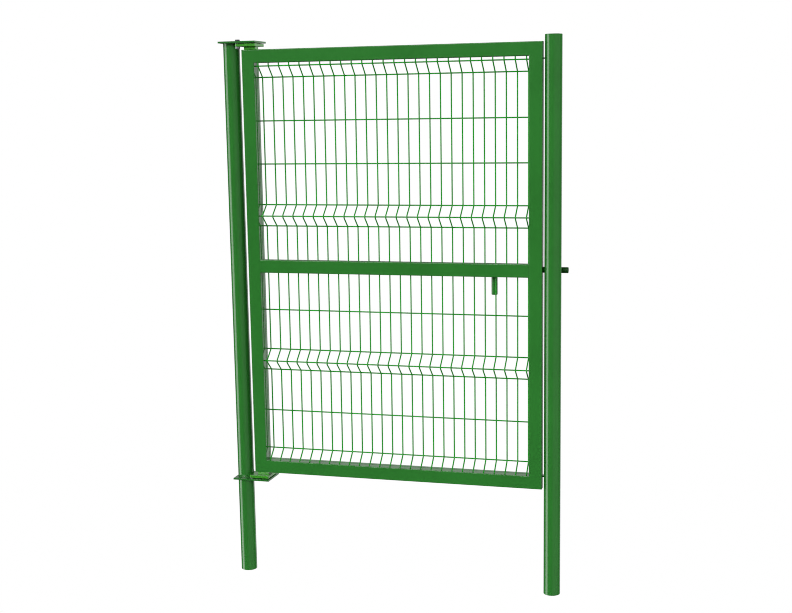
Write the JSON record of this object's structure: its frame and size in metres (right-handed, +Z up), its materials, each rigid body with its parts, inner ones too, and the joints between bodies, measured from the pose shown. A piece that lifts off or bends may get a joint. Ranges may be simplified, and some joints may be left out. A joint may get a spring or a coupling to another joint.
{
  "type": "mesh swing gate",
  "caption": "Single-leaf pedestrian swing gate of welded box section with a folded wire mesh panel, round posts, pivot hinges and a sliding bar latch.",
  "frame": {"origin": "centre of the hinge post's foot", "axes": "+X from the hinge post to the latch post, +Y to the back of the gate, +Z up the posts"},
  "size_m": [1.602, 0.145, 2.551],
  "materials": {
    "frame_green": "glossy green powder coat",
    "hinge_green": "glossy light green powder coat",
    "wire_green": "green coated wire",
    "zinc": "zinc plated",
    "dark_steel": "dark steel"
  },
  "bodies": {
    "posts": {"hinge_post": "frame_green", "latch_post": "frame_green", "latch_post_cap": "frame_green", "top_hinge_plate": "frame_green", "bottom_hinge_plate": "frame_green", "top_pivot_bolt": "dark_steel", "top_pivot_nut": "zinc", "bottom_pivot_pin": "dark_steel", "top_hinge_washer": "zinc", "bottom_hinge_washer": "zinc", "upper_stop": "frame_green", "lower_stop": "frame_green"},
    "leaf": {"hinge_stile": "frame_green", "latch_stile": "frame_green", "top_rail": "frame_green", "middle_rail": "frame_green", "bottom_rail": "frame_green", "hinge_side_batten": "frame_green", "latch_side_batten": "frame_green", "top_batten": "frame_green", "bottom_batten": "frame_green", "mesh_panel": "wire_green", "top_hinge_arm": "hinge_green", "bottom_hinge_arm": "hinge_green", "top_hinge_block": "hinge_green", "bottom_hinge_block": "hinge_green", "outer_bar_guide": "frame_green", "inner_bar_guide": "frame_green"},
    "latch": {"latch_bar": "frame_green", "latch_handle": "frame_green"}
  },
  "joints": [
    {"name": "leaf_swing", "type": "hinge", "parent": "posts", "child": "leaf", "pos_m": [0.0495, -0.045, 0.5], "axis": [0, 0, -1], "range_deg": [0, 165]},
    {"name": "bar_slide", "type": "slide", "parent": "leaf", "child": "latch", "axis": [-1, 0, 0], "range_m": [0, 0.115]}
  ]
}
